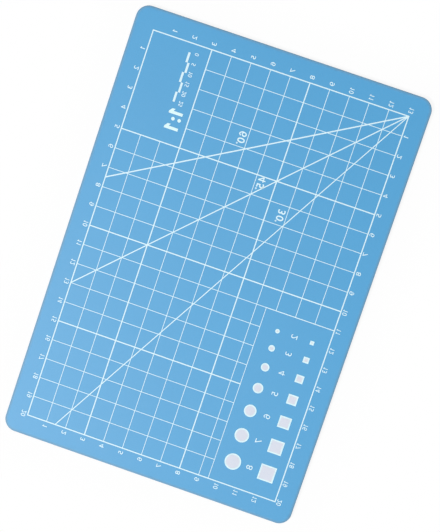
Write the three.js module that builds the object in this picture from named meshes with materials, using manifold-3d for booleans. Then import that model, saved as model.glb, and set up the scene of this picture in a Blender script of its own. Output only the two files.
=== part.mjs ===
// Self-healing cutting mat: a five-ply PVC sheet with a centimetre grid printed on its upper face.
// Millimetres, +Z up. The origin is the middle of the underside, X runs across the mat and Y along it.

import * as THREE from 'three';
import { mergeVertices } from 'three/addons/utils/BufferGeometryUtils.js';
import Module from 'manifold-3d';

// The sheet and its plies
const MAT_WIDTH = 150;
const MAT_LENGTH = 220.8;
const CORNER_RADIUS = 6.4;
const CORNER_SEGMENTS = 8;
const SKIN_THICKNESS = 1;
const BOND_THICKNESS = 0.1;
const CORE_THICKNESS = 0.8;

// The printed grid: a frame of whole cells, set from the left and upper edges of the mat
const INK_THICKNESS = 0.05;
const CELL = 10;
const LEFT_MARGIN = 10.3;
const UPPER_MARGIN = 10.75;
const LEAST_MARGIN = 9;
const CELLS_PER_BOLD_LINE = 5;
const BOLD_LINE = 0.56;
const FINE_LINE = 0.31;

// The fan of angle lines from the upper right corner of the frame, in degrees from its right side. They grow
// bolder from the first to the last.
const ANGLES = [30, 45, 60];
const ANGLE_LINE = 0.45;
const LAST_ANGLE_LINE = 0.61;

// The block of size gauges in the lower right corner of the frame: a column of discs and one of squares.
// The discs are drawn a little over their size.
const GAUGE_COUNT = 7;
const GAUGE_SMALLEST = 2;
const GAUGE_STEP = 1;
const GAUGE_GAP = 6.45;
const GAUGE_HEAD = 8.25;
const GAUGE_FOOT = 8.05;
const GAUGE_INSET = 4.9;
const GAUGE_SIDE = 4.3;
const GAUGE_COLUMN_SPACING = 17.8;
const GAUGE_SIDE_LINE = 0.31;
const GAUGE_HEAD_LINE = 0.42;
const DISC_SPREAD = 0.2;
const DISC_SEGMENTS = 24;

// Finishes
const BLUE_PVC = new THREE.MeshStandardMaterial({ color: 0x69afde, roughness: 0.6, metalness: 0 });
const PALE_PVC = new THREE.MeshStandardMaterial({ color: 0xdfe3e4, roughness: 0.5, metalness: 0 });
const ADHESIVE = new THREE.MeshStandardMaterial({ color: 0xb9cfdc, roughness: 0.35, metalness: 0 });
const WHITE_INK = new THREE.MeshStandardMaterial({ color: 0xe6eaf4, roughness: 0.55, metalness: 0 });

// Heights of the faces between the plies
const bottomBondBase = SKIN_THICKNESS;
const coreBase = bottomBondBase + BOND_THICKNESS;
const topBondBase = coreBase + CORE_THICKNESS;
const topSkinBase = topBondBase + BOND_THICKNESS;
const upperFace = topSkinBase + SKIN_THICKNESS;

// The frame of the grid. Places on the print are u to the right and v downwards from its upper left corner.
const columns = Math.floor((MAT_WIDTH - LEFT_MARGIN - LEAST_MARGIN) / CELL);
const rows = Math.floor((MAT_LENGTH - UPPER_MARGIN - LEAST_MARGIN) / CELL);
const frameWidth = columns * CELL;
const frameLength = rows * CELL;
const frameLeft = LEFT_MARGIN - MAT_WIDTH / 2;
const frameTop = MAT_LENGTH / 2 - UPPER_MARGIN;

// The title block, free of fine lines, reaches from the upper left corner to the first bold lines.
const titleColumns = columns % CELLS_PER_BOLD_LINE || CELLS_PER_BOLD_LINE;
const titleRight = titleColumns * CELL;
const titleFoot = CELLS_PER_BOLD_LINE * CELL;

// The gauge marks, smallest first, and the block that holds them
const gaugeSizes = Array.from({ length: GAUGE_COUNT }, (_, i) => GAUGE_SMALLEST + i * GAUGE_STEP);
const gaugeLargest = gaugeSizes[GAUGE_COUNT - 1];
const gaugeSizesTotal = gaugeSizes.reduce((total, size) => total + size, 0);
const gaugeLength = GAUGE_HEAD + gaugeSizesTotal + (GAUGE_COUNT - 1) * GAUGE_GAP + GAUGE_FOOT;
const gaugeWidth = GAUGE_INSET + gaugeLargest + GAUGE_COLUMN_SPACING + GAUGE_SIDE;
const gaugeLeft = frameWidth - gaugeWidth;
const gaugeTop = frameLength - gaugeLength;
const discColumn = gaugeLeft + GAUGE_INSET + gaugeLargest / 2;
const squareColumn = discColumn + GAUGE_COLUMN_SPACING;

const wasm = await Module();
wasm.setup();

const mat = new THREE.Group();

// A flat sheet of the mat's outline: a rectangle with round corners.
function sheetGeometry(thickness) {
  const insetX = MAT_WIDTH / 2 - CORNER_RADIUS;
  const insetY = MAT_LENGTH / 2 - CORNER_RADIUS;
  const quarter = Math.PI / 2;
  const outline = new THREE.Shape();
  outline.absarc(insetX, -insetY, CORNER_RADIUS, -quarter, 0);
  outline.absarc(insetX, insetY, CORNER_RADIUS, 0, quarter);
  outline.absarc(-insetX, insetY, CORNER_RADIUS, quarter, 2 * quarter);
  outline.absarc(-insetX, -insetY, CORNER_RADIUS, 2 * quarter, 3 * quarter);
  outline.closePath();
  return new THREE.ExtrudeGeometry(outline, {
    depth: thickness,
    bevelEnabled: false,
    curveSegments: CORNER_SEGMENTS,
  });
}

// A film of ink with the given outline, from height 0 up.
function inkGeometry(outline) {
  return new THREE.ExtrudeGeometry(outline, {
    depth: INK_THICKNESS,
    bevelEnabled: false,
    curveSegments: DISC_SEGMENTS,
  });
}

// A point of the print in the mat's X and Y.
function onMat(u, v) {
  return new THREE.Vector2(frameLeft + u, frameTop - v);
}

// An outline through points of the print, each given as [u, v].
function printOutline(points) {
  return new THREE.Shape(points.map(([u, v]) => onMat(u, v)));
}

// A rectangle of the print, grown by a border on all sides.
function printRectangle(u0, v0, u1, v1, border) {
  return printOutline([
    [u0 - border, v1 + border],
    [u1 + border, v1 + border],
    [u1 + border, v0 - border],
    [u0 - border, v0 - border],
  ]);
}

// A straight line of ink of the given width between two points of the print.
function printLine(u0, v0, u1, v1, width) {
  const from = onMat(u0, v0);
  const to = onMat(u1, v1);
  const along = to.clone().sub(from).normalize();
  const across = new THREE.Vector2(-along.y, along.x).multiplyScalar(width / 2);
  return new THREE.Shape([
    from.clone().sub(across),
    to.clone().sub(across),
    to.clone().add(across),
    from.clone().add(across),
  ]);
}

// The bold frame round the grid.
function frameOutline() {
  const half = BOLD_LINE / 2;
  const frame = printRectangle(0, 0, frameWidth, frameLength, half);
  frame.holes.push(printRectangle(0, 0, frameWidth, frameLength, -half));
  return frame;
}

// Lines down the print. They stop at the title block and at the gauge block.
function columnOutlines() {
  return Array.from({ length: columns - 1 }, (_, i) => {
    const u = (i + 1) * CELL;
    const bold = (columns - i - 1) % CELLS_PER_BOLD_LINE === 0;
    const head = u < titleRight ? titleFoot : 0;
    const foot = u > gaugeLeft ? gaugeTop : frameLength;
    return printLine(u, head, u, foot, bold ? BOLD_LINE : FINE_LINE);
  });
}

// Lines across the print. They stop at the title block and at the gauge block.
function rowOutlines() {
  return Array.from({ length: rows - 1 }, (_, i) => {
    const v = (i + 1) * CELL;
    const bold = (i + 1) % CELLS_PER_BOLD_LINE === 0;
    const left = v < titleFoot ? titleRight : 0;
    const right = v > gaugeTop ? gaugeLeft : frameWidth;
    return printLine(left, v, right, v, bold ? BOLD_LINE : FINE_LINE);
  });
}

// The border of the gauge block: a line over its head and one down its left side.
function gaugeBorderOutline() {
  const sideHalf = GAUGE_SIDE_LINE / 2;
  const headHalf = GAUGE_HEAD_LINE / 2;
  return printOutline([
    [gaugeLeft - sideHalf, frameLength],
    [gaugeLeft + sideHalf, frameLength],
    [gaugeLeft + sideHalf, gaugeTop + headHalf],
    [frameWidth, gaugeTop + headHalf],
    [frameWidth, gaugeTop - headHalf],
    [gaugeLeft - sideHalf, gaugeTop - headHalf],
  ]);
}

// The angle lines, from the upper right corner to where they reach the frame.
function angleOutlines() {
  return ANGLES.map((degrees, i) => {
    const angle = THREE.MathUtils.degToRad(degrees);
    const reach = Math.min(frameWidth / Math.sin(angle), frameLength / Math.cos(angle));
    const u = frameWidth - reach * Math.sin(angle);
    const v = reach * Math.cos(angle);
    const width = THREE.MathUtils.lerp(ANGLE_LINE, LAST_ANGLE_LINE, i / (ANGLES.length - 1));
    return printLine(frameWidth, 0, u, v, width);
  });
}

// A closed geometry as a solid that can be joined and cut.
function toSolid(geometry) {
  const bare = geometry.clone();
  bare.deleteAttribute('normal');
  bare.deleteAttribute('uv');
  const merged = mergeVertices(bare);
  return new wasm.Manifold(new wasm.Mesh({
    numProp: 3,
    vertProperties: new Float32Array(merged.attributes.position.array),
    triVerts: new Uint32Array(merged.index.array),
  }));
}

function toGeometry(solid) {
  const mesh = solid.getMesh();
  const geometry = new THREE.BufferGeometry();
  geometry.setAttribute('position', new THREE.BufferAttribute(mesh.vertProperties, mesh.numProp));
  geometry.setIndex(new THREE.BufferAttribute(mesh.triVerts, 1));
  geometry.computeVertexNormals();
  return geometry;
}

// All lines of the grid as one film of ink. Each line first stands out of the film on both sides, further
// than the line before it, so that no two lines share a face. The joined lines are then cut to the film.
function gridGeometry() {
  const outlines = [
    frameOutline(),
    ...columnOutlines(),
    ...rowOutlines(),
    gaugeBorderOutline(),
    ...angleOutlines(),
  ];
  const bars = outlines.map((outline, i) => {
    const excess = (i + 1) * INK_THICKNESS;
    const depth = INK_THICKNESS + 2 * excess;
    const bar = new THREE.ExtrudeGeometry(outline, { depth, bevelEnabled: false });
    return toSolid(bar.translate(0, 0, -excess));
  });
  const joined = bars.reduce((network, bar) => network.add(bar));
  return toGeometry(joined.intersect(toSolid(sheetGeometry(INK_THICKNESS))));
}

function discGeometry(size) {
  const outline = new THREE.Shape();
  outline.absarc(0, 0, (size + DISC_SPREAD) / 2, 0, 2 * Math.PI);
  return inkGeometry(outline);
}

function squareGeometry(size) {
  const half = size / 2;
  const corners = [[-half, -half], [half, -half], [half, half], [-half, half]];
  return inkGeometry(new THREE.Shape(corners.map(([x, y]) => new THREE.Vector2(x, y))));
}

function addPiece(name, geometry, material, x, y, z) {
  const piece = new THREE.Mesh(geometry, material);
  piece.name = name;
  piece.position.set(x, y, z);
  mat.add(piece);
}

function addPlies() {
  addPiece('bottom_skin', sheetGeometry(SKIN_THICKNESS), BLUE_PVC, 0, 0, 0);
  addPiece('bottom_bond', sheetGeometry(BOND_THICKNESS), ADHESIVE, 0, 0, bottomBondBase);
  addPiece('core_sheet', sheetGeometry(CORE_THICKNESS), PALE_PVC, 0, 0, coreBase);
  addPiece('top_bond', sheetGeometry(BOND_THICKNESS), ADHESIVE, 0, 0, topBondBase);
  addPiece('top_skin', sheetGeometry(SKIN_THICKNESS), BLUE_PVC, 0, 0, topSkinBase);
}

// One disc and one square of each size, down their columns with the same gap between neighbours.
function addGauges() {
  let head = gaugeTop + GAUGE_HEAD;
  gaugeSizes.forEach((size, i) => {
    const disc = onMat(discColumn, head + size / 2);
    const square = onMat(squareColumn, head + size / 2);
    addPiece(`gauge_disc_${i + 1}`, discGeometry(size), WHITE_INK, disc.x, disc.y, upperFace);
    addPiece(`gauge_square_${i + 1}`, squareGeometry(size), WHITE_INK, square.x, square.y, upperFace);
    head += size + GAUGE_GAP;
  });
}

addPlies();
addPiece('printed_grid', gridGeometry(), WHITE_INK, 0, 0, upperFace);
addGauges();

export default mat;
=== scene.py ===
"""Looks of a self-healing cutting mat: its five bonded plies, its print and a plain stage."""

import math

import bmesh
import bpy
from bpy.props import BoolProperty, FloatProperty, FloatVectorProperty, IntProperty, PointerProperty
from mathutils import Matrix, Vector


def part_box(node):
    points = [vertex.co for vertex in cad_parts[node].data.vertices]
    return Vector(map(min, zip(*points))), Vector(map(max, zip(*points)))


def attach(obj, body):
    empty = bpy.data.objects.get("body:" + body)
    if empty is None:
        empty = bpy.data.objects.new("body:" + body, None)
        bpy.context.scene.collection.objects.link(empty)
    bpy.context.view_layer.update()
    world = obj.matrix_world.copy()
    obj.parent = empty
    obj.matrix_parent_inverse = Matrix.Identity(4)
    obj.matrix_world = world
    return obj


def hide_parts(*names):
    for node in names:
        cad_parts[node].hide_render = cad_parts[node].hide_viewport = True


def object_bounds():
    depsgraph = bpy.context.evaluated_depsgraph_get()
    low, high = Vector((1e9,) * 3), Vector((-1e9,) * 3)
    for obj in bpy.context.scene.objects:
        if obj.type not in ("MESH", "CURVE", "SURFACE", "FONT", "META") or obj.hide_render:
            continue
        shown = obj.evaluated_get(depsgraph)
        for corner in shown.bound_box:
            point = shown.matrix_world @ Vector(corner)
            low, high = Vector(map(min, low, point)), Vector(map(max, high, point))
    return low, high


bl_info = {
    "name": "Cutting Mat",
    "version": (1, 0, 0),
    "blender": (4, 5, 0),
    "location": "View3D > Sidebar > Cutting Mat",
    "description": "Dresses a laminated cutting mat with its plies, its print and a plain stage",
    "category": "Object",
}

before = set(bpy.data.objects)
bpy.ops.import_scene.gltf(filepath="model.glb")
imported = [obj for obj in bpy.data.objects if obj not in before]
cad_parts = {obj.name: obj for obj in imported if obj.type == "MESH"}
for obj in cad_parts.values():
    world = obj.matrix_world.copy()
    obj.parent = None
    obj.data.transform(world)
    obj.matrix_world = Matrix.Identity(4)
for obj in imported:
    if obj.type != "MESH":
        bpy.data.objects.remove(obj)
CAD_LOW, CAD_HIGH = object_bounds()

BODY = "root"
MM = 0.001
WHITE = (1.0, 1.0, 1.0, 1.0)

# Points of a ply that lie this near to one of its sides are on it.
ON_SIDE = 0.01 * MM

# The flat face beside each rounded edge of a ply starts with a band of this width.
FLAT_BAND = 1 * MM

# How fast drag lines change along the way of the blade, as a share of their pace across it.
DRAG_STRETCH = 0.04

# Places on the print are u to the right and v downwards from the upper left corner of the frame.
GRID_LOW, GRID_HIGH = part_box("printed_grid")
CELL = 10 * MM
FRAME_LINE = 0.56 * MM
FRAME_LEFT = GRID_LOW.x + FRAME_LINE / 2
FRAME_TOP = GRID_HIGH.y - FRAME_LINE / 2
FRAME_WIDTH = GRID_HIGH.x - GRID_LOW.x - FRAME_LINE
FRAME_LENGTH = GRID_HIGH.y - GRID_LOW.y - FRAME_LINE
COLUMNS = round(FRAME_WIDTH / CELL)
ROWS = round(FRAME_LENGTH / CELL)
INK_BASE = GRID_LOW.z
INK_DEPTH = GRID_HIGH.z - GRID_LOW.z

# The two kinds of gauge mark, by the start of their nodes' names.
DISC = "gauge_disc_"
SQUARE = "gauge_square_"

# Middles of the angle labels on the print.
LABEL_MIDDLES = {
    "60°": (57.2 * MM, 35.2 * MM),
    "45°": (73.0 * MM, 53.1 * MM),
    "30°": (87.1 * MM, 65.0 * MM),
}

# The inks, and the vertex layer that is 1 where ink gathers at a rim.
THIN_INK = "thin_white_ink"
BOLD_INK = "bold_white_ink"
SOLID_INK = "solid_white_ink"
RIM_LAYER = "rim"

# The built-in font at size 1: its figures, and the cells of the signs that have their own.
DIGIT_HEIGHT = 0.69
DIGIT_CELL = 0.5
OWN_CELLS = {":": 0.32, "°": 0}
DEGREE_SIZE = 0.5
DEGREE_SHIFT = -0.065

# The mesh of a character: steps of its curves, half its thickness, and how near points are merged.
CURVE_STEPS = 5
HALF_THICKNESS = 0.5
MERGE_DISTANCE = 0.0005

# Outlines of the figures that differ from the built-in font, point by point.
CORNER = True
ROUND = False
ONE_OUTLINE = (
    (0.24, 0, CORNER), (0.33, 0, CORNER), (0.33, 0.69, CORNER), (0.27, 0.69, CORNER),
    (0.12, 0.57, CORNER), (0.12, 0.48, CORNER), (0.24, 0.56, CORNER),
)
FOUR_OUTLINE = (
    (0.3, 0, CORNER), (0.38, 0, CORNER), (0.38, 0.16, CORNER), (0.47, 0.16, CORNER),
    (0.47, 0.235, CORNER), (0.38, 0.235, CORNER), (0.38, 0.69, CORNER), (0.3, 0.69, CORNER),
    (0.02, 0.24, CORNER), (0.02, 0.16, CORNER), (0.3, 0.16, CORNER),
)
FOUR_COUNTER = ((0.3, 0.235, CORNER), (0.105, 0.235, CORNER), (0.3, 0.55, CORNER))
SIX_OUTLINE = (
    (0.25, -0.01, ROUND), (0.465, 0.225, ROUND), (0.265, 0.455, ROUND), (0.13, 0.385, CORNER),
    (0.17, 0.56, ROUND), (0.265, 0.62, ROUND), (0.36, 0.53, CORNER), (0.45, 0.545, CORNER),
    (0.27, 0.7, ROUND), (0.085, 0.56, ROUND), (0.035, 0.3, ROUND),
)
SIX_COUNTER = ((0.25, 0.075, ROUND), (0.13, 0.225, ROUND), (0.25, 0.375, ROUND), (0.37, 0.225, ROUND))


def half_turn(outline):
    """An outline turned upside down in its cell."""
    return [(DIGIT_CELL - x, DIGIT_HEIGHT - y, turn) for x, y, turn in outline]


DRAWN_FIGURES = {
    "1": (ONE_OUTLINE,),
    "4": (FOUR_OUTLINE, FOUR_COUNTER),
    "6": (SIX_OUTLINE, SIX_COUNTER),
    "9": (half_turn(SIX_OUTLINE), half_turn(SIX_COUNTER)),
}


# Settings


def srgb(red, green, blue):
    """A colour of 0 to 255 levels, as seen on a screen, in linear light."""

    def linear(level):
        part = level / 255
        return part / 12.92 if part <= 0.04045 else ((part + 0.055) / 1.055) ** 2.4

    return linear(red), linear(green), linear(blue)


def length(name, description, default):
    """A property that holds a length in metres."""
    return FloatProperty(name=name, description=description, default=default, unit="LENGTH", precision=5)


def place(name, description, default):
    """A property that holds a place in metres."""
    return FloatVectorProperty(
        name=name, description=description, default=default, unit="LENGTH", subtype="TRANSLATION"
    )


def colour(name, description, default):
    """A property that holds a colour."""
    return FloatVectorProperty(
        name=name, description=description, default=default, subtype="COLOR", size=3, min=0, max=1
    )


def share(name, description, default):
    """A property that holds a share of one."""
    return FloatProperty(name=name, description=description, default=default, subtype="FACTOR", min=0)


def count(name, description, default, least):
    """A property that holds a number of steps."""
    return IntProperty(name=name, description=description, default=default, min=least)


class PlySettings(bpy.types.PropertyGroup):
    """Edges, colours and grain of the five plies."""

    rim_round: length("Rim rounding", "Radius of the outer cut edges of the two skins", 0.35 * MM)
    seam_round: length("Seam rounding", "Radius of the edges where the plies meet", 0.06 * MM)
    core_inset: length("Core inset", "How far the cut core sits behind the skins", 0.04 * MM)
    bond_inset: length("Bond inset", "How far the adhesive films sit behind the skins", 0.1 * MM)
    bond_round: length("Bond rounding", "Radius of the edges of the adhesive films", 0.03 * MM)
    corner_steps: count("Corner steps", "Steps round each corner", 20, 4)
    rim_steps: count("Rim steps", "Steps round each rounded edge", 5, 1)
    skin_colour: colour("Skin", "Blue of the two PVC skins", srgb(72, 160, 212))
    # The rim colour is painted edge shade: a darker, duller blue along the skins' cut edge, set by the rim
    # share, width, full width and waver below.
    rim_colour: colour("Rim", "Duller blue of the skins along their cut edge", srgb(112, 146, 168))
    core_colour: colour("Core", "Off-white of the hard core", srgb(223, 227, 228))
    bond_colour: colour("Bond", "Bluish adhesive film", srgb(150, 182, 205))
    rim_share: share("Rim share", "How much of the duller blue shows on the cut edge", 0.6)
    rim_width: length("Rim width", "How far in from the cut edge the duller blue starts", 1.3 * MM)
    rim_full: length("Rim full width", "How far in from the cut edge the duller blue is full", 0.1 * MM)
    rim_waver: length("Rim waver", "How far the duller blue wavers outwards", 0.4 * MM)
    drift_size: length("Drift size", "Size of the slow drifts in the skins' colour", 50 * MM)
    fleck_size: length("Fleck size", "Size of the flecks in the skins", 1.6 * MM)
    pebble_size: length("Pebble size", "Size of the pebbled grain of the skins", 0.4 * MM)
    skin_drag: length("Skin drag lines", "Width of the drag lines on the cut skins", 0.3 * MM)
    skin_roughness: share("Skin roughness", "Least roughness of the skins", 0.335)
    skin_relief: length("Skin relief", "Depth of the grain of the skins", 0.02 * MM)
    chalk_size: length("Chalk size", "Size of the speckle of the core", 0.7 * MM)
    core_drag: length("Core drag lines", "Width of the drag lines on the cut core", 0.25 * MM)
    core_roughness: share("Core roughness", "Least roughness of the core", 0.45)
    core_relief: length("Core relief", "Depth of the drag lines on the cut core", 0.012 * MM)
    squeeze_size: length("Squeeze size", "Size of the uneven spots of the adhesive films", 2.5 * MM)
    bond_roughness: share("Bond roughness", "Least roughness of the adhesive films", 0.22)
    bond_relief: length("Bond relief", "Depth of the uneven spots of the adhesive films", 0.01 * MM)


class InkSettings(bpy.types.PropertyGroup):
    """Whites and texture of the ink, the filled marks, and the hand of the characters."""

    solid_colour: colour("Solid ink", "White of the filled marks", srgb(218, 223, 236))
    bold_colour: colour("Bold ink", "White of bold strokes and of the rims of marks", srgb(223, 252, 255))
    thin_colour: colour("Thin ink", "Bluish white of thin lines and numerals", srgb(220, 246, 255))
    mark_rim: length("Mark rim", "Width of the brighter rim of a filled mark", 0.9 * MM)
    mark_fade: length("Mark fade", "Width over which the rim of a filled mark fades", 0.55 * MM)
    mark_dip: length("Mark dip", "How far the middle of a filled mark lies below its rim", 0.01 * MM)
    disc_steps: count("Disc steps", "Steps round each disc", 48, 12)
    mottle_size: length("Mottle size", "Size of the slow mottling of the ink", 5 * MM)
    thin_size: length("Thin spot size", "Size of the spots where the ink is thinner", 0.6 * MM)
    tooth_size: length("Tooth size", "Size of the tooth that the screen leaves", 0.14 * MM)
    show_through: share("Show through", "How much of the skin shows in the thinnest spots", 0.2)
    roughness: share("Ink roughness", "Least roughness of the ink", 0.5)
    relief: length("Ink relief", "Depth of the tooth and the thin spots", 0.006 * MM)
    mirrored: BoolProperty(
        name="Mirrored", description="Print the characters mirrored, as the photo shows them", default=True
    )


class NumeralSettings(bpy.types.PropertyGroup):
    """The centimetre numerals round the frame."""

    height: length("Numeral height", "Height of the numerals", 2.35 * MM)
    bold: share("Numeral weight", "Added to each side of the strokes, of the font's size", 0.006)
    single_width: share("Single width", "Width of one figure, as a share of the font's own", 1.2)
    pair_width: share("Pair width", "Width of two figures, as a share of the font's own", 0.97)
    row_shift: length("Row shift", "How far the numerals of the rows sit above their lines", 0.2 * MM)
    upper_shift: length("Upper shift", "How far the upper numerals sit right of their lines", 0.2 * MM)
    lower_shift: length("Lower shift", "How far the lower numerals sit left of their lines", 0.15 * MM)
    left_gap: length("Left gap", "From the left frame line to the middle of its numerals", 2.2 * MM)
    right_gap: length("Right gap", "From the right frame line to the middle of its numerals", 2.0 * MM)
    upper_gap: length("Upper gap", "From the upper frame line to the middle of its numerals", 2.9 * MM)
    lower_gap: length("Lower gap", "From the lower frame line to the middle of its numerals", 2.4 * MM)


class GaugeSettings(bpy.types.PropertyGroup):
    """The millimetre numerals between the gauge marks."""

    height: length("Gauge numeral height", "Height of the numerals", 3.15 * MM)
    bold: share("Gauge numeral weight", "Added to each side of the strokes, of the font's size", 0.0)
    width: share("Gauge numeral width", "Width as a share of the font's own", 1.1)
    shift: length("Gauge numeral shift", "How far they sit left of the middle of the gap", 0.25 * MM)


class LabelSettings(bpy.types.PropertyGroup):
    """The labels of the angle lines."""

    height: length("Label height", "Height of the labels", 3.7 * MM)
    bold: share("Label weight", "Added to each side of the strokes, of the font's size", 0.014)
    width: share("Label width", "Width as a share of the font's own", 1.05)
    cell: share("Label spacing", "From figure to figure, as a share of the font's size", 0.585)


class TitleSettings(bpy.types.PropertyGroup):
    """The true-scale mark and the scale bar in the title block."""

    mark_height: length("Scale mark height", "Height of the true-scale mark", 7.0 * MM)
    mark_bold: share("Scale mark weight", "Added to each side of its strokes, of the font's size", 0.035)
    mark_right: length("Scale mark right", "From the left frame line to the mark's middle", 23 * MM)
    mark_down: length("Scale mark down", "From the upper frame line to the mark's middle", 38 * MM)
    bar_length: length("Bar length", "Length of the scale bar", 25 * MM)
    bar_step: length("Bar step", "Length of one block of the scale bar", 5 * MM)
    bar_height: length("Bar height", "Height of one block of the scale bar", 1.1 * MM)
    bar_right: length("Bar right", "From the left frame line to the scale bar", 19.6 * MM)
    bar_down: length("Bar down", "From the upper frame line to the scale bar", 4.6 * MM)
    numeral_height: length("Bar numeral height", "Height of the numerals of the scale bar", 2.0 * MM)
    numeral_gap: length("Bar numeral gap", "From the scale bar to its numerals", 1.0 * MM)


class StageSettings(bpy.types.PropertyGroup):
    """Camera, lights and floor."""

    camera_place: place("Camera", "Where the camera stands", (0.04874, 0.11492, 0.89717))
    camera_aim: place("Aim", "The point in the middle of the picture", (0.00235, 0.00152, 0.00305))
    camera_turn: FloatProperty(
        name="Turn", description="Turn of the picture's upright from the mat's long side",
        default=math.radians(18.561), subtype="ANGLE",
    )
    lens: FloatProperty(name="Lens", description="Focal length", default=125.15, unit="CAMERA")
    sensor: FloatProperty(name="Sensor", description="Width of the sensor", default=36, unit="CAMERA")
    softbox_place: place("Softbox", "Middle of the softbox", (-1.34, -1.4, 3.5))
    softbox_size: length("Softbox size", "Side of the square softbox", 1.1)
    softbox_power: FloatProperty(
        name="Softbox power", description="Power of the softbox", default=121, unit="POWER"
    )
    fill: share("Fill", "Strength of the even light from above", 0.3)
    underlight: share("Underlight", "Strength of the even light from below", 0.8)
    horizon_fade: share("Horizon fade", "How far below the horizon the underlight is full", 0.1)
    floor_size: length("Floor size", "Width of the floor", 8.0)
    floor_corner: length("Floor corner", "Radius of the corners of the floor", 2.0)
    floor_steps: count("Floor steps", "Steps round each corner of the floor", 12, 4)
    floor_lip: length("Floor lip", "How far the floor, open under the mat, reaches in below it", 0.5 * MM)
    floor_drop: length("Floor drop", "How far the floor lies below the underside", 0.05 * MM)
    paper: share("Paper", "How much light the floor's paper returns", 0.95)
    whiteness: share("Whiteness", "How much of the floor beside the mat is plain white", 0.9)
    shadow_reach: length("Shadow reach", "Width of the floor round the mat that keeps a shadow", 25 * MM)


class MatSettings(bpy.types.PropertyGroup):
    """All settings of the mat."""

    plies: PointerProperty(type=PlySettings)
    ink: PointerProperty(type=InkSettings)
    numerals: PointerProperty(type=NumeralSettings)
    gauge: PointerProperty(type=GaugeSettings)
    labels: PointerProperty(type=LabelSettings)
    title: PointerProperty(type=TitleSettings)
    stage: PointerProperty(type=StageSettings)


# Values in node trees


class Shade:
    """A value in a node tree. Arithmetic on it adds Math nodes, or Vector Math nodes on a vector."""

    def __init__(self, tree, socket=None):
        self.tree = tree
        self.socket = socket

    def node(self, kind, settings=None, inputs=None, output=0):
        """Adds a node: its settings, then its sockets' values or links. Gives one of its outputs."""
        made = self.tree.nodes.new(kind)
        for name, value in (settings or {}).items():
            setattr(made, name, value)
        for name, value in (inputs or {}).items():
            socket = self.pick(made.inputs, name)
            if isinstance(value, Shade):
                self.tree.links.new(value.socket, socket)
            else:
                socket.default_value = value
        return Shade(self.tree, self.pick(made.outputs, output) if made.outputs else None)

    def output(self, name):
        """Another output of the same node."""
        return Shade(self.tree, self.pick(self.socket.node.outputs, name))

    @staticmethod
    def pick(sockets, name):
        """The socket in use with that name or number."""
        in_use = [socket for socket in sockets if socket.enabled]
        if isinstance(name, int):
            return in_use[name]
        return next(socket for socket in in_use if socket.name == name)

    def maths(self, operation, *terms):
        """A Math node on the terms, or a Vector Math node where this value is a vector."""
        kind = "ShaderNodeVectorMath" if self.socket.type == "VECTOR" else "ShaderNodeMath"
        return self.node(kind, {"operation": operation}, dict(enumerate(terms)))

    def __add__(self, other):
        return self.maths("ADD", self, other)

    def __radd__(self, other):
        return self.maths("ADD", other, self)

    def __sub__(self, other):
        return self.maths("SUBTRACT", self, other)

    def __rsub__(self, other):
        return self.maths("SUBTRACT", other, self)

    def __mul__(self, other):
        return self.maths("MULTIPLY", self, other)

    def __rmul__(self, other):
        return self.maths("MULTIPLY", other, self)

    def __abs__(self):
        return self.maths("ABSOLUTE", self)

    def ramp(self, low, high):
        """From 0 to 1 as this value goes from low to high, and no further."""
        return self.node("ShaderNodeMapRange", {}, {"Value": self, "From Min": low, "From Max": high})

    def mix(self, low, high):
        """A colour from low to high as this value goes from 0 to 1."""
        return self.node("ShaderNodeMix", {"data_type": "RGBA"}, {"Factor": self, "A": low, "B": high})

    def vary(self, base, darkest, lightest):
        """A base colour made darker to lighter, by those levels, as this value goes from 0 to 1."""
        return self.mix(tint(base, darkest), tint(base, lightest))

    def noise(self, size, detail=2.0):
        """Soft noise from 0 to 1, in blotches of about that size. This value is the place."""
        return self.node("ShaderNodeTexNoise", {}, {"Vector": self, "Scale": 1 / size, "Detail": detail})

    def drag_lines(self, size):
        """Noise drawn out into upright lines of about that width. This value is the place."""
        return (self * (1, 1, DRAG_STRETCH)).noise(size)

    def pebbles(self, size, smoothness=0.6, top=0.1, foot=0.7):
        """Rounded bumps of about that size, 1 on top and 0 at the foot. This value is the place."""
        settings = {"voronoi_dimensions": "2D", "feature": "SMOOTH_F1"}
        inputs = {"Vector": self, "Scale": 1 / size, "Smoothness": smoothness}
        distance = self.node("ShaderNodeTexVoronoi", settings, inputs, "Distance")
        return 1 - distance.ramp(top, foot)


# Finishes


def tint(base, level):
    """A colour made lighter or darker by a level, with its alpha."""
    return (*(min(1.0, part * level) for part in base), 1.0)


def new_finish(name):
    """A material with an empty node tree, and the place on the mat as its first value."""
    material = bpy.data.materials.new(name)
    material.use_nodes = True
    material.node_tree.nodes.clear()
    return material, Shade(material.node_tree).node("ShaderNodeTexCoord", output="Object")


def close_finish(spot, base, roughness, height, depth):
    """Ends a node tree in a shader with that colour, roughness and relief."""
    relief = spot.node("ShaderNodeBump", {}, {"Strength": 1.0, "Distance": depth, "Height": height})
    inputs = {"Base Color": base, "Roughness": roughness, "Normal": relief}
    shader = spot.node("ShaderNodeBsdfPrincipled", {}, inputs)
    spot.node("ShaderNodeOutputMaterial", {}, {"Surface": shader})


def cut_edge(spot):
    """From 0 on the flat faces to 1 on the upright cut edge."""
    normal = spot.node("ShaderNodeNewGeometry", output="Normal")
    upright = spot.node("ShaderNodeSeparateXYZ", {}, {"Vector": normal}, output="Z")
    return 1 - abs(upright)


def rim_distance(spot, node):
    """Distance of a place from a ply's outline, seen from above. Zero is the cut edge, less is inside."""
    low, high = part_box(node)
    radius = corner_radius(node)
    middle = (low + high) / 2
    reach = (high - low) / 2 - Vector((radius, radius, 0))
    beyond = abs((spot - tuple(middle)) * (1, 1, 0)) - (reach.x, reach.y, 0)
    outwards = beyond.maths("MAXIMUM", beyond, (0, 0, 0))
    return outwards.node("ShaderNodeVectorMath", {"operation": "LENGTH"}, {0: outwards}, "Value") - radius


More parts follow.
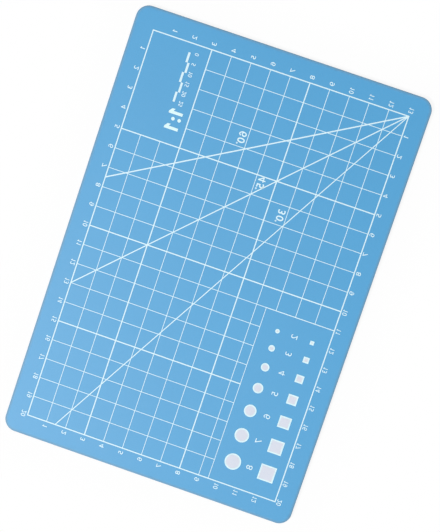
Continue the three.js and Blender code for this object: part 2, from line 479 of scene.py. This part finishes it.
def skin_finish(plies):
    """Soft matte PVC: a pebbled face with a painted highlight on the pebble tops, slow drifts of colour,
    painted shade along the cut edge as a duller blue, and drag lines on the cut.
    """
    material, spot = new_finish("pebbled_blue_pvc")
    drift = spot.noise(plies.drift_size)
    fleck = spot.noise(plies.fleck_size)
    pebble = spot.pebbles(plies.pebble_size)
    drag = spot.drag_lines(plies.skin_drag)
    edge = cut_edge(spot)
    # The pebble tops are painted a little lighter than their feet: a painted highlight on the grain.
    clean = (drift * 0.45 + fleck * 0.3 + pebble * 0.25).vary(plies.skin_colour, 0.94, 1.06)
    # The band of the rim colour along the cut edge is painted edge shade; the band is also a little
    # rougher.
    wavering = rim_distance(spot, "top_skin") + fleck * plies.rim_waver
    edge_shade = wavering.ramp(-plies.rim_width, -plies.rim_full)
    base = (edge_shade * plies.rim_share).mix(clean, (*plies.rim_colour, 1.0))
    roughness = plies.skin_roughness + (1 - pebble) * 0.1 + drift * 0.05 + edge_shade * 0.12
    height = pebble * (1 - edge) + fleck * 0.5 + drag * edge
    close_finish(spot, base, roughness, height, plies.skin_relief)
    return material


def core_finish(plies):
    """Hard off-white PVC: a chalky speckle, with drag lines on the cut edge."""
    material, spot = new_finish("off_white_core")
    chalk = spot.noise(plies.chalk_size)
    drag = spot.drag_lines(plies.core_drag)
    base = (chalk * 0.7 + drag * 0.3).vary(plies.core_colour, 0.9, 1.06)
    close_finish(spot, base, plies.core_roughness + drag * 0.2, drag, plies.core_relief)
    return material


def bond_finish(plies):
    """Thin adhesive film: smooth, a little uneven where it was squeezed out."""
    material, spot = new_finish("bluish_bond_film")
    squeeze = spot.noise(plies.squeeze_size)
    base = squeeze.vary(plies.bond_colour, 0.85, 1.08)
    close_finish(spot, base, plies.bond_roughness + squeeze * 0.15, squeeze, plies.bond_relief)
    return material


def ink_finish(mat, name, white, rim_white):
    """Screen-print ink: mottled, thinner in spots, whiter where it gathers, with the screen's tooth."""
    ink = mat.ink
    material, spot = new_finish(name)
    mottle = spot.noise(ink.mottle_size)
    thin = spot.noise(ink.thin_size)
    tooth = spot.noise(ink.tooth_size)
    rim = spot.node("ShaderNodeAttribute", {"attribute_name": RIM_LAYER}, {}, "Fac")
    cover = rim.mix(mottle.vary(white, 0.97, 1.03), (*rim_white, 1.0))
    showing = thin.ramp(0.55, 0.9) * ink.show_through
    base = showing.mix(cover, tint(mat.plies.skin_colour, 1.2))
    roughness = ink.roughness + mottle * 0.08 + thin * 0.06
    close_finish(spot, base, roughness, tooth * 0.6 + thin, ink.relief)
    return material


def printing_ink(mat, name):
    """The ink of that name, made at its first use from its white and its white at a rim."""
    thin, bold, solid = mat.ink.thin_colour, mat.ink.bold_colour, mat.ink.solid_colour
    whites = {THIN_INK: (thin, thin), BOLD_INK: (bold, bold), SOLID_INK: (solid, bold)}
    return bpy.data.materials.get(name) or ink_finish(mat, name, *whites[name])


# Shapes of the plies and of the print


def add_piece(name, bm, finish, replaced=None):
    """Makes a bmesh a named piece on the mat's body, with its finish."""
    mesh = bpy.data.meshes.new(name)
    bm.to_mesh(mesh)
    bm.free()
    mesh.materials.append(finish)
    piece = bpy.data.objects.new(name, mesh)
    bpy.context.scene.collection.objects.link(piece)
    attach(piece, BODY)
    if replaced:
        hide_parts(replaced)


def on_mat(u, v):
    """A place on the print, at the foot of the ink."""
    return Vector((FRAME_LEFT + u, FRAME_TOP - v, INK_BASE))


def corner_radius(node):
    """Corner radius of a ply's CAD outline: from its side to where its straight upper edge ends."""
    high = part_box(node)[1]
    points = [vertex.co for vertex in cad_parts[node].data.vertices]
    return high.x - max(point.x for point in points if high.y - point.y < ON_SIDE)


def edge_profile(low, high, inset, lower_round, upper_round, steps):
    """Inset and height of each ring round a ply, from its underside over the cut edge to its upper face."""
    turns = [math.pi / 2 * step / steps for step in range(steps + 1)]
    lower = [(1 - math.sin(turn), 1 - math.cos(turn)) for turn in turns]
    upper = [(1 - math.cos(turn), 1 - math.sin(turn)) for turn in turns]
    return [
        (inset + lower_round + FLAT_BAND, low),
        *((inset + lower_round * inwards, low + lower_round * rise) for inwards, rise in lower),
        *((inset + upper_round * inwards, high - upper_round * drop) for inwards, drop in upper),
        (inset + upper_round + FLAT_BAND, high),
    ]


def rounded_ring(bm, low, high, radius, inset, z, corner_steps):
    """A ring of vertices round a rectangle with rounded corners, anticlockwise from above."""
    ring = []
    middle = (low + high) / 2
    reach_x = (high.x - low.x) / 2 - radius
    reach_y = (high.y - low.y) / 2 - radius
    for corner, (side_x, side_y) in enumerate(((1, 1), (-1, 1), (-1, -1), (1, -1))):
        for step in range(corner_steps + 1):
            turn = math.pi / 2 * (corner + step / corner_steps)
            x = middle.x + side_x * reach_x + (radius - inset) * math.cos(turn)
            y = middle.y + side_y * reach_y + (radius - inset) * math.sin(turn)
            ring.append(bm.verts.new((x, y, z)))
    return ring


def join_rings(bm, rings):
    """Walls between each ring of vertices and the next."""
    for below, above in zip(rings, rings[1:]):
        for here in range(len(below)):
            bm.faces.new((below[here - 1], below[here], above[here], above[here - 1]))


def close_rings(bm, rings):
    """A closed body: walls between the rings, and a face on the first and on the last."""
    join_rings(bm, rings)
    bm.faces.new(reversed(rings[0]))
    bm.faces.new(rings[-1])


def ply(node, inset, lower_round, upper_round, plies):
    """A bmesh of one ply in place of its CAD node, with rounded cut edges."""
    bm = bmesh.new()
    low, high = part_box(node)
    radius = corner_radius(node)
    profile = edge_profile(low.z, high.z, inset, lower_round, upper_round, plies.rim_steps)
    rings = [
        rounded_ring(bm, low, high, radius, ring_inset, z, plies.corner_steps) for ring_inset, z in profile
    ]
    close_rings(bm, rings)
    for face in bm.faces:
        face.smooth = True
    return bm


def drawn_figure(outlines):
    """A curve with the outlines of one figure."""
    curve = bpy.data.curves.new("character", "CURVE")
    curve.dimensions = "2D"
    curve.fill_mode = "BOTH"
    for outline in outlines:
        spline = curve.splines.new("BEZIER")
        spline.bezier_points.add(len(outline) - 1)
        spline.use_cyclic_u = True
        for point, (x, y, turn) in zip(spline.bezier_points, outline):
            point.co = (x, y, 0)
            point.handle_left_type = "VECTOR" if turn == CORNER else "AUTO"
            point.handle_right_type = point.handle_left_type
    return curve


def font_character(text):
    """A curve with the outline of one character of the built-in font."""
    curve = bpy.data.curves.new("character", "FONT")
    curve.body = text
    if text == "°":
        curve.size = DEGREE_SIZE
        curve.offset_x = DEGREE_SHIFT
        curve.offset_y = DIGIT_HEIGHT * (1 - DEGREE_SIZE)
    return curve


def character(text, bold):
    """A bmesh of one character at the font's size 1, one unit thick, its strokes grown on each side."""
    outlines = DRAWN_FIGURES.get(text)
    curve = drawn_figure(outlines) if outlines else font_character(text)
    curve.resolution_u = CURVE_STEPS
    curve.extrude = HALF_THICKNESS
    curve.offset = bold
    carrier = bpy.data.objects.new("character", curve)
    mesh = bpy.data.meshes.new_from_object(carrier)
    bm = bmesh.new()
    bm.from_mesh(mesh)
    bpy.data.objects.remove(carrier)
    bpy.data.curves.remove(curve)
    bpy.data.meshes.remove(mesh)
    bmesh.ops.remove_doubles(bm, verts=bm.verts, dist=MERGE_DISTANCE)
    bmesh.ops.dissolve_degenerate(bm, edges=bm.edges, dist=MERGE_DISTANCE)
    bmesh.ops.recalc_face_normals(bm, faces=bm.faces)
    return bm


def print_text(target, text, middle, height, bold, width, mirrored, cell=DIGIT_CELL):
    """Adds characters to a bmesh as films of ink, with the middle of their cells at a place."""
    size = height / (DIGIT_HEIGHT + 2 * bold)
    across = Vector((0, -1 if mirrored else 1, 0))
    upwards = Vector((-1, 0, 0))
    turn = Matrix((across, upwards, Vector((0, 0, 1)))).transposed().to_4x4()
    scale = Matrix.Diagonal((size * width, size, INK_DEPTH, 1))
    lift = Matrix.Translation(middle + Vector((0, 0, INK_DEPTH / 2)))
    cells = [OWN_CELLS.get(part, cell) for part in text]
    for number, part in enumerate(text):
        glyph = character(part, bold)
        spare = 0 if part in OWN_CELLS else (cell - DIGIT_CELL) / 2
        start = sum(cells[:number]) + spare - sum(cells) / 2
        shift = Matrix.Translation((start, -DIGIT_HEIGHT / 2, 0))
        bmesh.ops.transform(glyph, matrix=lift @ turn @ scale @ shift, verts=glyph.verts)
        if mirrored:
            bmesh.ops.reverse_faces(glyph, faces=glyph.faces)
        mesh = bpy.data.meshes.new("character")
        glyph.to_mesh(mesh)
        glyph.free()
        target.from_mesh(mesh)
        bpy.data.meshes.remove(mesh)


def mark_width(node):
    """Width of a gauge mark."""
    low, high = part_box(node)
    return high.x - low.x


def gauge_nodes(kind):
    """The CAD nodes of one kind of gauge mark, smallest first."""
    return sorted((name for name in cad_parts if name.startswith(kind)), key=mark_width)


def gauge_mark(node, outline, ink):
    """A bmesh of a filled mark in place of its CAD node, with a rim of ink. The outline has reach 1."""
    bm = bmesh.new()
    rim = bm.verts.layers.float.new(RIM_LAYER)
    low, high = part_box(node)
    middle = (low + high) / 2
    reach = mark_width(node) / 2
    inner = reach - ink.mark_rim
    levels = (
        (reach, low.z, 1),
        (reach, high.z, 1),
        (inner + ink.mark_fade, high.z, 1),
        (inner, high.z - ink.mark_dip, 0),
    )
    rings = []
    for size, z, whiteness in levels:
        ring = [bm.verts.new((middle.x + x * size, middle.y + y * size, z)) for x, y in outline]
        for vertex in ring:
            vertex[rim] = whiteness
        rings.append(ring)
    close_rings(bm, rings)
    return bm


def print_block(target, u, v, width, drop):
    """Adds a rectangle of ink to a bmesh, from its upper left corner on the print."""
    corners = (on_mat(u, v), on_mat(u, v + drop), on_mat(u + width, v + drop), on_mat(u + width, v))
    up = Vector((0, 0, INK_DEPTH))
    rings = [[target.verts.new(corner + lift) for corner in corners] for lift in (Vector(), up)]
    close_rings(target, rings)


# Operators that make the pieces


class CUTTING_MAT_OT_lay_plies(bpy.types.Operator):
    """Lay up the two skins, the two adhesive films and the core with their cut edges"""

    bl_idname = "cutting_mat.lay_plies"
    bl_label = "Lay Plies"
    bl_options = {"REGISTER", "UNDO"}

    def execute(self, context):
        plies = context.scene.cutting_mat.plies
        skin = skin_finish(plies)
        bond = bond_finish(plies)
        core = core_finish(plies)
        layers = (
            ("bottom_skin", "blue_pvc", skin, 0, plies.rim_round, plies.seam_round),
            ("bottom_bond", "adhesive_film", bond, plies.bond_inset, plies.bond_round, plies.bond_round),
            ("core_sheet", "core_pvc", core, plies.core_inset, plies.seam_round, plies.seam_round),
            ("top_bond", "adhesive_film", bond, plies.bond_inset, plies.bond_round, plies.bond_round),
            ("top_skin", "blue_pvc", skin, 0, plies.seam_round, plies.rim_round),
        )
        for node, slot, finish, inset, lower_round, upper_round in layers:
            add_piece(node + "_ply", ply(node, inset, lower_round, upper_round, plies), finish, node)
        return {"FINISHED"}


class CUTTING_MAT_OT_ink_lines(bpy.types.Operator):
    """Give the frame, the grid and the angle lines their printed ink"""

    bl_idname = "cutting_mat.ink_lines"
    bl_label = "Ink Lines"
    bl_options = {"REGISTER", "UNDO"}

    def execute(self, context):
        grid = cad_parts["printed_grid"]
        grid.material_slots[0].material = printing_ink(context.scene.cutting_mat, THIN_INK)
        return {"FINISHED"}


class CUTTING_MAT_OT_print_gauge_marks(bpy.types.Operator):
    """Print the filled discs and squares of the gauge"""

    bl_idname = "cutting_mat.print_gauge_marks"
    bl_label = "Print Gauge Marks"
    bl_options = {"REGISTER", "UNDO"}

    def execute(self, context):
        mat = context.scene.cutting_mat
        steps = mat.ink.disc_steps
        turns = [2 * math.pi * step / steps for step in range(steps)]
        disc = [(math.cos(turn), math.sin(turn)) for turn in turns]
        square = [(-1, -1), (1, -1), (1, 1), (-1, 1)]
        for kind, outline in ((DISC, disc), (SQUARE, square)):
            for node in gauge_nodes(kind):
                mark = gauge_mark(node, outline, mat.ink)
                add_piece(node + "_print", mark, printing_ink(mat, SOLID_INK), node)
        return {"FINISHED"}


class CUTTING_MAT_OT_print_edge_numerals(bpy.types.Operator):
    """Print the centimetre numerals along the four sides of the frame"""

    bl_idname = "cutting_mat.print_edge_numerals"
    bl_label = "Print Edge Numerals"
    bl_options = {"REGISTER", "UNDO"}

    def execute(self, context):
        mat = context.scene.cutting_mat
        numerals = mat.numerals
        rows = [(row, row * CELL - numerals.row_shift) for row in range(1, ROWS + 1)]
        columns = [(column, column * CELL) for column in range(1, COLUMNS + 1)]
        right = FRAME_WIDTH + numerals.right_gap
        lower = FRAME_LENGTH + numerals.lower_gap
        sides = {
            "left": [(row, -numerals.left_gap, v) for row, v in rows],
            "right": [(row, right, v) for row, v in rows],
            "upper": [(column, u + numerals.upper_shift, -numerals.upper_gap) for column, u in columns],
            "lower": [(column, u - numerals.lower_shift, lower) for column, u in columns[:-1]],
        }
        for side, places in sides.items():
            bm = bmesh.new()
            for number, u, v in places:
                text = str(number)
                width = numerals.single_width if len(text) == 1 else numerals.pair_width
                middle = on_mat(u, v)
                print_text(bm, text, middle, numerals.height, numerals.bold, width, mat.ink.mirrored)
            add_piece(side + "_numerals", bm, printing_ink(mat, THIN_INK))
        return {"FINISHED"}


class CUTTING_MAT_OT_print_gauge_numerals(bpy.types.Operator):
    """Print the millimetre sizes between the discs and the squares of the gauge"""

    bl_idname = "cutting_mat.print_gauge_numerals"
    bl_label = "Print Gauge Numerals"
    bl_options = {"REGISTER", "UNDO"}

    def execute(self, context):
        discs = gauge_nodes(DISC)
        squares = gauge_nodes(SQUARE)
        if len(discs) != len(squares):
            raise RuntimeError("The gauge needs a square beside each disc.")
        mat = context.scene.cutting_mat
        gauge = mat.gauge
        bm = bmesh.new()
        for disc, square in zip(discs, squares):
            corners = (*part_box(disc), *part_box(square))
            middle = sum(corners, Vector()) / len(corners)
            middle.x -= gauge.shift
            middle.z = INK_BASE
            text = str(round(mark_width(square) / MM))
            print_text(bm, text, middle, gauge.height, gauge.bold, gauge.width, mat.ink.mirrored)
        add_piece("gauge_numerals", bm, printing_ink(mat, THIN_INK))
        return {"FINISHED"}


class CUTTING_MAT_OT_print_angle_labels(bpy.types.Operator):
    """Print the degrees beside the three angle lines"""

    bl_idname = "cutting_mat.print_angle_labels"
    bl_label = "Print Angle Labels"
    bl_options = {"REGISTER", "UNDO"}

    def execute(self, context):
        mat = context.scene.cutting_mat
        labels = mat.labels
        bm = bmesh.new()
        for text, (u, v) in LABEL_MIDDLES.items():
            middle = on_mat(u, v)
            mirrored = mat.ink.mirrored
            print_text(bm, text, middle, labels.height, labels.bold, labels.width, mirrored, labels.cell)
        add_piece("angle_labels", bm, printing_ink(mat, THIN_INK))
        return {"FINISHED"}


class CUTTING_MAT_OT_print_title_marks(bpy.types.Operator):
    """Print a true-scale mark and a numbered scale bar in the title block"""

    bl_idname = "cutting_mat.print_title_marks"
    bl_label = "Print Title Marks"
    bl_options = {"REGISTER", "UNDO"}

    def execute(self, context):
        mat = context.scene.cutting_mat
        title = mat.title
        mark = bmesh.new()
        middle = on_mat(title.mark_right, title.mark_down)
        print_text(mark, "1:1", middle, title.mark_height, title.mark_bold, 1, mat.ink.mirrored)
        add_piece("scale_mark", mark, printing_ink(mat, BOLD_INK))
        add_piece("scale_bar", self.scale_bar(mat), printing_ink(mat, THIN_INK))
        return {"FINISHED"}

    def scale_bar(self, mat):
        """A bmesh of blocks in turn on two sides of a line, with a numeral at each end of a block."""
        title = mat.title
        bm = bmesh.new()
        height = title.numeral_height
        beside = title.bar_right + 2 * title.bar_height + title.numeral_gap + height / 2
        blocks = round(title.bar_length / title.bar_step)
        for block in range(blocks + 1):
            u = title.bar_right + block % 2 * title.bar_height
            v = title.bar_down + block * title.bar_step
            if block < blocks:
                print_block(bm, u, v, title.bar_height, title.bar_step)
            text = str(round(block * title.bar_step / MM))
            print_text(bm, text, on_mat(beside, v), height, mat.numerals.bold, 1, mat.ink.mirrored)
        return bm


# Stage


def seen_directly(start):
    """One for what the camera sees by itself or in gloss or glass, else zero."""
    rays = start.node("ShaderNodeLightPath", output="Is Camera Ray")
    return rays + rays.output("Is Glossy Ray") + rays.output("Is Transmission Ray")


def studio_world(stage):
    """White to look at, with a weaker even light on the object from above and one on its underside."""
    world = bpy.data.worlds.new("studio")
    world.use_nodes = True
    world.node_tree.nodes.clear()
    start = Shade(world.node_tree)
    direction = start.node("ShaderNodeTexCoord", output="Generated")
    height = start.node("ShaderNodeSeparateXYZ", {}, {"Vector": direction}, output="Z")
    fill = start.node("ShaderNodeBackground", {}, {"Color": WHITE, "Strength": stage.fill})
    underlight = start.node("ShaderNodeBackground", {}, {"Color": WHITE, "Strength": stage.underlight})
    white = start.node("ShaderNodeBackground", {}, {"Color": WHITE, "Strength": 1.0})
    below = height.ramp(0, -stage.horizon_fade)
    light = start.node("ShaderNodeMixShader", {}, {0: below, 1: fill, 2: underlight})
    surface = start.node("ShaderNodeMixShader", {}, {0: seen_directly(start), 1: light, 2: white})
    start.node("ShaderNodeOutputWorld", {}, {"Surface": surface})
    return world


def floor_finish(stage):
    """White paper that keeps a soft shadow round the mat, and is clear from below."""
    material, spot = new_finish("white_floor")
    paper = spot.node("ShaderNodeBsdfDiffuse", {}, {"Color": (stage.paper, stage.paper, stage.paper, 1.0)})
    glow = spot.node("ShaderNodeEmission", {}, {"Color": WHITE, "Strength": 1.0})
    clear = spot.node("ShaderNodeBsdfTransparent")
    away = rim_distance(spot, "bottom_skin").ramp(0, stage.shadow_reach)
    whiteness = stage.whiteness + away * (1 - stage.whiteness)
    above = spot.node("ShaderNodeMixShader", {}, {0: seen_directly(spot) * whiteness, 1: paper, 2: glow})
    below = spot.node("ShaderNodeNewGeometry", output="Backfacing")
    surface = spot.node("ShaderNodeMixShader", {}, {0: below, 1: above, 2: clear})
    spot.node("ShaderNodeOutputMaterial", {}, {"Surface": surface})
    return material


class CUTTING_MAT_OT_set_stage(bpy.types.Operator):
    """Set the floor, the lights and the camera of the photo"""

    bl_idname = "cutting_mat.set_stage"
    bl_label = "Set Stage"
    bl_options = {"REGISTER", "UNDO"}

    def execute(self, context):
        scene = context.scene
        stage = scene.cutting_mat.stage
        scene.view_settings.view_transform = "Standard"
        scene.world = studio_world(stage)
        self.lay_floor(scene, stage)
        self.hang_softbox(scene, stage)
        self.set_camera(scene, stage)
        return {"FINISHED"}

    def lay_floor(self, scene, stage):
        """A flat floor, open under the mat."""
        bm = bmesh.new()
        reach = Vector((stage.floor_size, stage.floor_size, 0)) / 2
        radius = corner_radius("bottom_skin")
        steps = stage.floor_steps
        outer = rounded_ring(bm, -reach, reach, stage.floor_corner, 0, 0, steps)
        inner = rounded_ring(bm, CAD_LOW, CAD_HIGH, radius, stage.floor_lip, 0, steps)
        join_rings(bm, (outer, inner))
        mesh = bpy.data.meshes.new("floor")
        bm.to_mesh(mesh)
        bm.free()
        mesh.materials.append(floor_finish(stage))
        floor = bpy.data.objects.new("floor", mesh)
        floor.location.z = CAD_LOW.z - stage.floor_drop
        scene.collection.objects.link(floor)

    def hang_softbox(self, scene, stage):
        """A square lamp that looks at the middle of the mat."""
        lamp = bpy.data.lights.new("softbox", "AREA")
        lamp.size = stage.softbox_size
        lamp.energy = stage.softbox_power
        softbox = bpy.data.objects.new("softbox", lamp)
        softbox.location = stage.softbox_place
        softbox.rotation_euler = Vector(stage.softbox_place).to_track_quat("Z", "Y").to_euler()
        scene.collection.objects.link(softbox)

    def set_camera(self, scene, stage):
        """The camera, turned about its line of sight."""
        lens = bpy.data.cameras.new("camera")
        lens.sensor_width = stage.sensor
        lens.lens = stage.lens
        camera = bpy.data.objects.new("camera", lens)
        back = (Vector(stage.camera_place) - Vector(stage.camera_aim)).normalized()
        upright = Vector((-math.sin(stage.camera_turn), math.cos(stage.camera_turn), 0))
        right = upright.cross(back).normalized()
        axes = Matrix((right, back.cross(right), back)).transposed().to_4x4()
        camera.matrix_world = Matrix.Translation(stage.camera_place) @ axes
        scene.collection.objects.link(camera)
        scene.camera = camera


# Panel and registration


class CUTTING_MAT_PT_panel(bpy.types.Panel):
    """Settings and operators of the mat"""

    bl_label = "Cutting Mat"
    bl_space_type = "VIEW_3D"
    bl_region_type = "UI"
    bl_category = "Cutting Mat"

    def draw(self, context):
        mat = context.scene.cutting_mat
        for title in MatSettings.__annotations__:
            group = getattr(mat, title)
            box = self.layout.box()
            box.label(text=title.capitalize())
            for name in type(group).__annotations__:
                box.prop(group, name)
        for operator in OPERATORS:
            self.layout.operator(operator.bl_idname)


SETTINGS = (
    PlySettings,
    InkSettings,
    NumeralSettings,
    GaugeSettings,
    LabelSettings,
    TitleSettings,
    StageSettings,
    MatSettings,
)
OPERATORS = (
    CUTTING_MAT_OT_lay_plies,
    CUTTING_MAT_OT_ink_lines,
    CUTTING_MAT_OT_print_gauge_marks,
    CUTTING_MAT_OT_print_edge_numerals,
    CUTTING_MAT_OT_print_gauge_numerals,
    CUTTING_MAT_OT_print_angle_labels,
    CUTTING_MAT_OT_print_title_marks,
    CUTTING_MAT_OT_set_stage,
)
CLASSES = (*SETTINGS, *OPERATORS, CUTTING_MAT_PT_panel)


def register():
    """Registers the classes and gives the scene its settings."""
    for cls in CLASSES:
        bpy.utils.register_class(cls)
    bpy.types.Scene.cutting_mat = PointerProperty(type=MatSettings)


def unregister():
    """Takes the settings and the classes out again."""
    del bpy.types.Scene.cutting_mat
    for cls in reversed(CLASSES):
        bpy.utils.unregister_class(cls)


def main():
    register()
    bpy.ops.cutting_mat.lay_plies()
    bpy.ops.cutting_mat.ink_lines()
    bpy.ops.cutting_mat.print_gauge_marks()
    bpy.ops.cutting_mat.print_edge_numerals()
    bpy.ops.cutting_mat.print_gauge_numerals()
    bpy.ops.cutting_mat.print_angle_labels()
    bpy.ops.cutting_mat.print_title_marks()
    bpy.ops.cutting_mat.set_stage()


if __name__ == "__main__":
    main()
